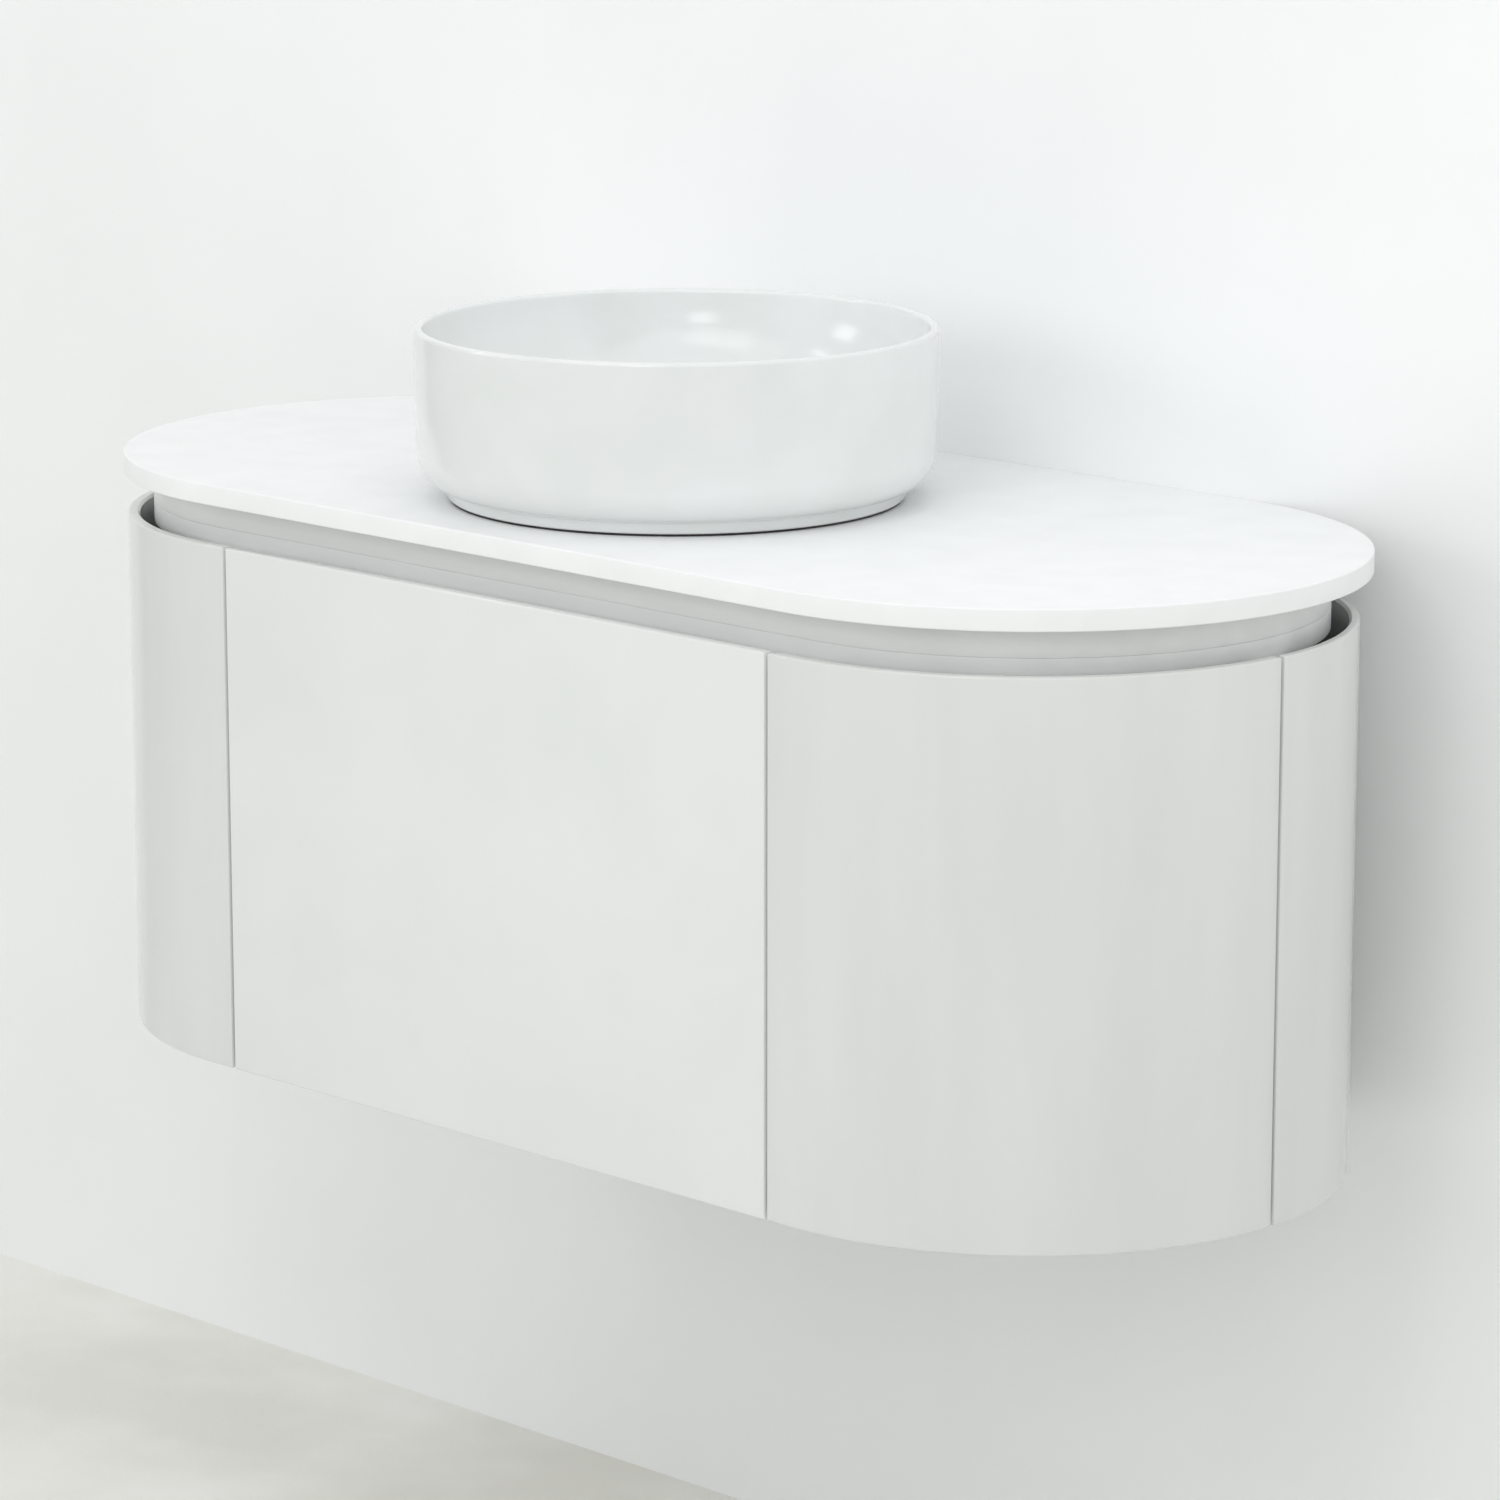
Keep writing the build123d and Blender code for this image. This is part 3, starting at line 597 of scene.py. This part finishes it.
@dataclass
class Fronts:
    """The flat drawer front, the bent doors and the bent panels that close the ends to the wall.

    Attributes:
        plan: the cabinet's outline.
        ease: radius of the fronts' outer edges.
        seam_ease: radius of the edges at the seams.
        edge: width of the upper edge in front of the chamfer that fingers pull on.
        steps: facets in a quarter turn.
    """

    plan: Plan
    ease: float = 2.0 * MM
    seam_ease: float = 1.5 * MM
    edge: float = 8 * MM
    steps: int = 72

    def build(self) -> None:
        """Builds all five fronts."""
        self._drawer_front()
        for side in Side:
            self._door(side)
            self._rear_panel(side)

    def _sided(self, mesh: bmesh.types.BMesh, side: Side) -> bmesh.types.BMesh:
        """Turns a right-hand mesh to the side that is asked for.

        Args:
            mesh: the mesh, built for the right end.
            side: the end that it is for.

        Returns:
            The same mesh.
        """
        if side is Side.LEFT:
            bmesh.ops.scale(mesh, vec=(-1, 1, 1), verts=mesh.verts)
        return mesh

    def _drawer_front(self) -> None:
        """Builds the flat front."""
        low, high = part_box("drawer_front")
        section = eased_section(low.x, low.y, high.y, low.z, high.z, self.ease, self.edge)
        sweep = Sweep(section).run((high.x - low.x, 0, 0)).cap(self.seam_ease)
        place(sweep.mesh, "flat_drawer_front", GLOSS_LACQUER, Body.DRAWER, ("drawer_front",))

    def _door(self, side: Side) -> None:
        """Builds one bent door from its front seam to its end.

        Args:
            side: the door's end of the vanity.
        """
        plan = self.plan
        centre = Vector((plan.end_x, plan.middle_y, 0))
        low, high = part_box("right_door_panel")
        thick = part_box("right_hinge_batten")[0].y - plan.front
        turned = math.degrees(math.acos((centre.y - high.y) / plan.radius))
        section = eased_section(plan.seam, plan.front, plan.front + thick, low.z, high.z,
                                self.ease, self.edge)
        sweep = Sweep(section).run((plan.end_x - plan.seam, 0, 0))
        sweep.turn(centre, turned, self.steps).cap(self.seam_ease)
        place(self._sided(sweep.mesh, side), f"{side.prefix}bent_door", SHADED_BENT_LACQUER, side.door,
              (f"{side.prefix}door_panel",))

    def _rear_panel(self, side: Side) -> None:
        """Builds one bent panel from the door's end back to the partition.

        Args:
            side: the panel's end of the vanity.
        """
        plan = self.plan
        centre = Vector((plan.end_x, plan.middle_y, 0))
        low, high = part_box("right_rear_panel")
        thick = high.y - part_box("right_partition")[1].y
        turned = 90 - math.degrees(math.asin((low.y - centre.y) / plan.radius))
        section = eased_section(plan.end_x, plan.front, plan.front + thick, low.z, high.z,
                                self.ease, thick - self.ease)
        start = Matrix.Rotation(math.pi - math.radians(turned), 3, "Z")
        bmesh.ops.rotate(section.mesh, cent=centre, matrix=start, verts=section.mesh.verts)
        sweep = Sweep(section).turn(centre, turned, self.steps)
        sweep.run((low.x - plan.end_x, 0, 0)).cap(self.seam_ease)
        place(self._sided(sweep.mesh, side), f"{side.prefix}bent_rear_panel", SHADED_BENT_LACQUER,
              Body.CABINET, (f"{side.prefix}rear_panel",))


@dataclass
class Basin:
    """The round vessel, its foot seal and its click-clack waste.

    Attributes:
        foot_height: height of the foot ring.
        foot_in: how far the foot ring stands in from the wall.
        foot_width: width of the foot ring.
        foot_ease: size of the chamfers on the foot ring.
        corner: radius of the lower outer corner.
        lean: how far the corner stands in from the rim.
        rim: height of the rounded rim.
        wall: thickness of the wall at the rim.
        reach: half-width of the bowl's elliptical section.
        floor: height of the bowl's lowest point above the worktop.
        shell: thickness of the bowl under that section.
        drain: radius of the drain hole.
        recess: radius of the recess that the waste's flange sits in.
        recess_slope: how much narrower that recess is at its bottom.
        boss: width of the boss round the drain hole.
        boss_bottom: height of the boss's underside above the worktop.
        hollow: distance from the drain hole to where the hollow underside begins.
        flange: thickness of the waste's flange.
        bore: radius of the waste's bore.
        tube: radius of the waste's tube.
        soft: radius of the flange's edge.
        threads: how many ridges the tube's thread has.
        pitch: distance between those ridges.
        crown: height of the plug's dome.
        lip: height of the plug's upright edge.
        collar: radius of the collar under the plug.
        stem: radius of the plug's stem.
        steps: facets round the basin.
    """

    foot_height: float = 8 * MM
    foot_in: float = 26.5 * MM
    foot_width: float = 12 * MM
    foot_ease: float = 1 * MM
    corner: float = 30 * MM
    lean: float = 1.3 * MM
    rim: float = 3.6 * MM
    wall: float = 7.6 * MM
    reach: float = 165 * MM
    floor: float = 20 * MM
    shell: float = 11 * MM
    drain: float = 23 * MM
    recess: float = 34 * MM
    recess_slope: float = 2 * MM
    boss: float = 20 * MM
    boss_bottom: float = 5 * MM
    hollow: float = 26 * MM
    flange: float = 2.5 * MM
    bore: float = 17 * MM
    tube: float = 20 * MM
    soft: float = 0.8 * MM
    threads: int = 24
    pitch: float = 1.2 * MM
    crown: float = 3.5 * MM
    lip: float = 1.5 * MM
    collar: float = 12 * MM
    stem: float = 2.5 * MM
    steps: int = 256
    axis: Vector = field(init=False)
    low: Vector = field(init=False)
    radius: float = field(init=False)
    rim_z: float = field(init=False)

    def __post_init__(self) -> None:
        """Reads the basin's place and radius from the frame."""
        self.low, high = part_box("basin")
        self.axis = Vector(((self.low.x + high.x) / 2, (self.low.y + high.y) / 2, 0))
        self.radius = (high.x - self.low.x) / 2
        self.rim_z = high.z - self.rim

    def at(self, reach: float, z: float) -> Vector:
        """Places a point of a section.

        Args:
            reach: its distance from the basin's axis.
            z: its height.

        Returns:
            The point.
        """
        return self.axis + Vector((reach, 0, z))

    def build(self) -> None:
        """Builds the vessel, its seal and the waste."""
        self._vessel()
        self._seal()
        self._waste()
        self._plug()

    def _spun(self, outline: Outline) -> bmesh.types.BMesh:
        """Turns a section right round the basin's axis.

        Args:
            outline: the section.

        Returns:
            The turned mesh.
        """
        mesh = outline.mesh
        bmesh.ops.spin(mesh, geom=list(mesh.verts) + list(mesh.edges), cent=self.axis, axis=UP,
                       angle=2 * math.pi, steps=self.steps, use_merge=True)
        return mesh

    def _oval(self, outline: Outline, middle: float, reach: float, depth: float, start: float,
              end: float, steps: int) -> None:
        """Draws part of an ellipse that is centred at the height of the rim.

        Args:
            outline: the section being drawn.
            middle: the centre's distance from the basin's axis.
            reach: half-width of the ellipse.
            depth: half-height of the ellipse, negative where it is drawn upwards.
            start: eccentric angle where it begins, in degrees.
            end: eccentric angle where it ends.
            steps: how many chords it is made of.
        """
        for step in range(1, steps + 1):
            angle = math.radians(start + (end - start) * step / steps)
            outline.run(self.at(middle + reach * math.cos(angle),
                                self.rim_z - depth * math.sin(angle)))

    def _vessel(self) -> None:
        """Builds the glazed vessel as one turned section."""
        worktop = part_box("worktop")[1].z
        flange_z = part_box("waste_body")[1].z
        seat = flange_z - self.flange
        depth = self.rim_z - (worktop + self.floor)
        foot = self.radius - self.foot_in
        inner_foot = foot - self.foot_width
        corner_reach = self.radius - self.lean - self.corner
        corner_at = self.at(corner_reach, self.low.z + self.foot_height + self.corner)
        begun = math.degrees(math.asin((foot - corner_reach) / self.corner))
        # Known fault: once the first vertex is deleted, close() joins the foot to the arc's second
        # vertex, so the arc's first chord is left as a stray open ring inside the foot.
        made = Outline(corner_at + Vector((0, 0, -self.corner))).arc(corner_at, -begun, 1)
        made.mesh.verts.ensure_lookup_table()
        bmesh.ops.delete(made.mesh, geom=[made.mesh.verts[0]], context="VERTS")
        made.arc(corner_at, begun - 90, 24)
        made.run(self.at(self.radius, self.rim_z))
        self._oval(made, self.radius - self.wall / 2, self.wall / 2, -self.rim, 0, 180, 14)
        middle = self.radius - self.wall - self.reach
        self._oval(made, middle, self.reach, depth, 0, 90, 40)
        boss_z = worktop + self.boss_bottom
        made.run(self.at(self.recess, flange_z)).run(self.at(self.recess - self.recess_slope, seat))
        made.run(self.at(self.drain, seat)).run(self.at(self.drain, boss_z))
        made.run(self.at(self.drain + self.boss, boss_z))
        outer = self.reach + self.shell
        begin, end = (math.degrees(math.acos((reach - middle) / outer))
                      for reach in (self.drain + self.hollow, inner_foot))
        self._oval(made, middle, outer, depth + self.shell, begin, end, 20)
        made.run(self.at(inner_foot, self.low.z + self.foot_ease))
        made.run(self.at(inner_foot + self.foot_ease, self.low.z))
        made.run(self.at(foot - self.foot_ease, self.low.z))
        made.run(self.at(foot, self.low.z + self.foot_ease)).close()
        place(self._spun(made), "glazed_vessel", GLAZE, Body.CABINET, ("basin",))

    def _seal(self) -> None:
        """Builds the foot seal with rounded edges."""
        low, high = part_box("basin_seal")
        width, soft = 8 * MM, 0.5 * MM
        outer = (high.x - low.x) / 2
        made = Outline(self.at(outer - width, low.z)).run(self.at(outer - soft, low.z))
        made.arc(self.at(outer - soft, low.z + soft), -90, 3).run(self.at(outer, high.z - soft))
        made.arc(self.at(outer - soft, high.z - soft), -90, 3)
        made.run(self.at(outer - width, high.z)).close()
        place(self._spun(made), "vessel_foot_seal", RUBBER, Body.CABINET, ("basin_seal",))

    def _waste(self) -> None:
        """Builds the flange of the waste and its tube with a ridged thread."""
        low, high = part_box("waste_body")
        edge, ridge, mouth = (high.x - low.x) / 2, 0.5 * MM, 1.5 * MM
        first, last = low.z + 2 * MM, low.z + 31 * MM
        made = Outline(self.at(self.bore, low.z)).run(self.at(self.tube, low.z))
        for count in range(self.threads):
            z = first + count * self.pitch
            made.run(self.at(self.tube, z)).run(self.at(self.tube - ridge, z + self.pitch / 2))
        made.run(self.at(self.tube, last)).run(self.at(self.tube, high.z - self.flange))
        made.run(self.at(edge - self.soft / 2, high.z - self.flange))
        made.run(self.at(edge, high.z - self.flange + ridge)).run(self.at(edge, high.z - self.soft))
        made.arc(self.at(edge - self.soft, high.z - self.soft), -90, 5)
        made.run(self.at(self.bore + mouth, high.z)).run(self.at(self.bore, high.z - mouth)).close()
        place(self._spun(made), "click_waste_body", CHROME, Body.CABINET, ("waste_body",))

    def _plug(self) -> None:
        """Builds the domed plug with its collar and its stem."""
        low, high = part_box("waste_plug")
        dome, steepness, steps, chamfer = (high.x - low.x) / 2, 2.4, 18, 0.3 * MM
        edge = high.z - self.crown
        under = edge - self.lip
        collar_z = under - 3 * MM
        made = Outline(self.at(0, high.z))
        for share in (step / steps for step in range(1, steps + 1)):
            made.run(self.at(dome * share, high.z - self.crown * share ** steepness))
        made.run(self.at(dome, under + chamfer)).run(self.at(dome - 0.5 * MM, under))
        made.run(self.at(self.collar, under)).run(self.at(self.collar, collar_z))
        made.run(self.at(self.stem, collar_z)).run(self.at(self.stem, low.z))
        made.run(self.at(0, low.z))
        place(self._spun(made), "click_waste_plug", CHROME, Body.PLUG, ("waste_plug",))


@dataclass
class CarriedNodes:
    """The CAD nodes that keep their own shape and only get a finish.

    Attributes:
        finishes: the finish of each material slot.
    """

    finishes: dict[str, Finish]

    def dress(self) -> None:
        """Gives every node the material of its slot."""
        slots = {part["node"]: part["material_slot"] for part in frame["record"]["subparts"]}
        for name, node in frame["nodes"].items():
            material = self.finishes[slots[name]].material()
            for socket in node.material_slots:
                socket.material = material
            log.info("%s: carried over in %s", name, material.name)


@dataclass(frozen=True)
class Softbox:
    """One rectangular lamp.

    Attributes:
        name: the lamp's name.
        at: where it stands.
        aim: what it points at.
        size: its width and height.
        power: its power in watts.
        mirrored: whether glossy surfaces mirror it.
    """

    name: str
    at: tuple[float, float, float]
    aim: tuple[float, float, float]
    size: tuple[float, float]
    power: float
    mirrored: bool = False

    def hang(self) -> None:
        """Adds the lamp to the scene."""
        lamp = bpy.data.lights.new(self.name, "AREA")
        lamp.shape, lamp.energy = "RECTANGLE", self.power
        lamp.size, lamp.size_y = self.size
        holder = bpy.data.objects.new(self.name, lamp)
        holder.location = self.at
        holder.visible_glossy = self.mirrored
        holder.rotation_mode = "QUATERNION"
        ray = Vector(self.aim) - Vector(self.at)
        holder.rotation_quaternion = ray.to_track_quat("-Z", "Y")
        bpy.context.scene.collection.objects.link(holder)


SOFTBOXES = (
    # The large ones fill the room. Glossy surfaces mirror only those that hang high.
    Softbox("ceiling_softbox", (0.7, -1.5, 2.8), (0.5, -0.4, 0.0), (3.6, 2.6), 22, True),
    Softbox("right_softbox", (3.0, -2.0, 1.2), (0, -0.3, -0.1), (1.8, 1.8), 18),
    Softbox("front_left_softbox", (-2.5, -4.5, 1.2), (0, 0, 0), (2.0, 2.0), 20),
    Softbox("front_softbox", (0.3, -5.2, 1.4), (0, 0, 0), (3.0, 2.4), 18),
    Softbox("far_left_softbox", (-4.0, -2.5, 1.0), (0, -0.3, 0), (2.0, 2.4), 13),
    Softbox("front_high_softbox", (0.9, -2.8, 2.6), (0.3, -0.1, 0.2), (1.8, 1.2), 9, True),
    # The strip draws the line along the fronts' upper edges, and the glints show in the bowl.
    Softbox("left_strip", (-2.0, -1.5, 2.12), (0, -0.4, 0.1), (1.7, 0.2), 3.5, True),
    Softbox("right_glint", (1.12, -2.15, 1.06), (0, -0.3, 0.2), (0.5, 0.5), 2.2, True),
    Softbox("left_glint", (-1.67, -1.84, 0.94), (0, -0.3, 0.2), (0.5, 0.5), 2.2, True))


@dataclass
class Studio:
    """The wall, the floor, the lights and the camera.

    Attributes:
        floor_z: height of the floor.
        reach: how far the wall goes each way.
        floor_reach: how far the floor goes each way.
        wall_top: height of the wall's upper edge.
        azimuth: the camera's turn round the object, in degrees.
        elevation: the camera's height above the horizon, in degrees.
        aim: the point that the camera looks at.
        distance: from the camera to that point.
        lens: the camera's focal length, in millimetres.
        sensor: the width of its sensor, in millimetres.
        fill: strength of the even light that fills the room.
        fill_colour: sRGB hex of that light.
    """

    floor_z: float = -0.88
    reach: float = 7.0
    floor_reach: float = 28.0
    wall_top: float = 4.5
    azimuth: float = 44.4026
    elevation: float = 12.3887
    aim: tuple[float, float, float] = (0.0017, -0.2365, -0.1096)
    distance: float = 4.843
    lens: float = 141.371
    sensor: float = 36.0
    fill: float = 0.5
    fill_colour: str = "F6F9FA"

    def build(self) -> None:
        """Builds the stage, then the lights and the camera."""
        self._wall()
        self._floor()
        self._world()
        for softbox in SOFTBOXES:
            softbox.hang()
        self._camera()
        view = bpy.context.scene.view_settings
        view.view_transform, view.look = "Standard", "None"
        view.exposure, view.gamma = 0.0, 1.0

    def _sheet(self, name: str, finish: Finish, matrix: Matrix,
               size: tuple[float, float]) -> bpy.types.Object:
        """Makes a flat sheet of the stage.

        Args:
            name: the sheet's name.
            finish: its finish.
            matrix: where it stands, with its face along its own Z.
            size: its half-width and half-height.

        Returns:
            The sheet.
        """
        mesh = bmesh.new()
        bmesh.ops.create_grid(mesh, x_segments=2, y_segments=2, size=1.0)
        bmesh.ops.scale(mesh, vec=(size[0], size[1], 1), verts=mesh.verts)
        bmesh.ops.transform(mesh, matrix=matrix, verts=mesh.verts)
        data = bpy.data.meshes.new(name)
        mesh.to_mesh(data)
        mesh.free()
        data.materials.append(finish.material())
        sheet = bpy.data.objects.new(name, data)
        bpy.context.scene.collection.objects.link(sheet)
        return sheet

    def _one_sided(self, sheet: bpy.types.Object) -> None:
        """Lets a sheet be seen only from the side that it faces.

        Args:
            sheet: the sheet.
        """
        tree = sheet.data.materials[0].node_tree
        out = tree.nodes.get("Material Output")
        painted = out.inputs["Surface"].links[0].from_socket
        side = add_node(tree, "ShaderNodeNewGeometry").outputs["Backfacing"]
        clear = add_node(tree, "ShaderNodeBsdfTransparent")
        mixed = add_node(tree, "ShaderNodeMixShader", {}, {0: side, 1: painted, 2: clear.outputs[0]})
        tree.links.new(mixed.outputs[0], out.inputs["Surface"])

    def _wall(self) -> None:
        """Builds the wall, whose face is towards the room."""
        middle = (self.wall_top + self.floor_z) / 2
        matrix = Matrix.Translation((0, 0, middle)) @ Matrix.Rotation(math.pi / 2, 4, "X")
        size = (self.reach, (self.wall_top - self.floor_z) / 2)
        self._one_sided(self._sheet("studio_wall", WALL_PAINT, matrix, size))

    def _floor(self) -> None:
        """Builds the floor, which runs on past the wall."""
        matrix = Matrix.Translation((0, 0, self.floor_z))
        size = (self.floor_reach, self.floor_reach)
        self._one_sided(self._sheet("studio_floor", SCREED, matrix, size))

    def _world(self) -> None:
        """Fills the room with an even pale light."""
        world = bpy.data.worlds.new("studio_room")
        world.use_nodes = True
        bpy.context.scene.world = world
        fill = world.node_tree.nodes["Background"]
        fill.inputs["Color"].default_value = linear(self.fill_colour)
        fill.inputs["Strength"].default_value = self.fill

    def _camera(self) -> None:
        """Sets the camera at its viewing angle."""
        azimuth, elevation = math.radians(self.azimuth), math.radians(self.elevation)
        back = Vector((math.sin(azimuth) * math.cos(elevation),
                       -math.cos(azimuth) * math.cos(elevation), math.sin(elevation)))
        data = bpy.data.cameras.new("studio_camera")
        data.lens, data.sensor_width = self.lens, self.sensor
        camera = bpy.data.objects.new("studio_camera", data)
        camera.location = Vector(self.aim) + back * self.distance
        camera.rotation_mode = "QUATERNION"
        camera.rotation_quaternion = (-back).to_track_quat("-Z", "Y")
        bpy.context.scene.collection.objects.link(camera)
        bpy.context.scene.camera = camera


def main() -> None:
    """Builds the vanity's pieces in order, then the studio round them."""
    logging.basicConfig(level=logging.INFO, format="%(name)s: %(message)s")
    CarriedNodes(NODE_FINISHES).dress()
    basin = Basin()
    for board in BOARDS:
        board.build(basin.axis)
    Fronts(Plan.read()).build()
    basin.build()
    Studio().build()


if __name__ == "__main__":
    main()
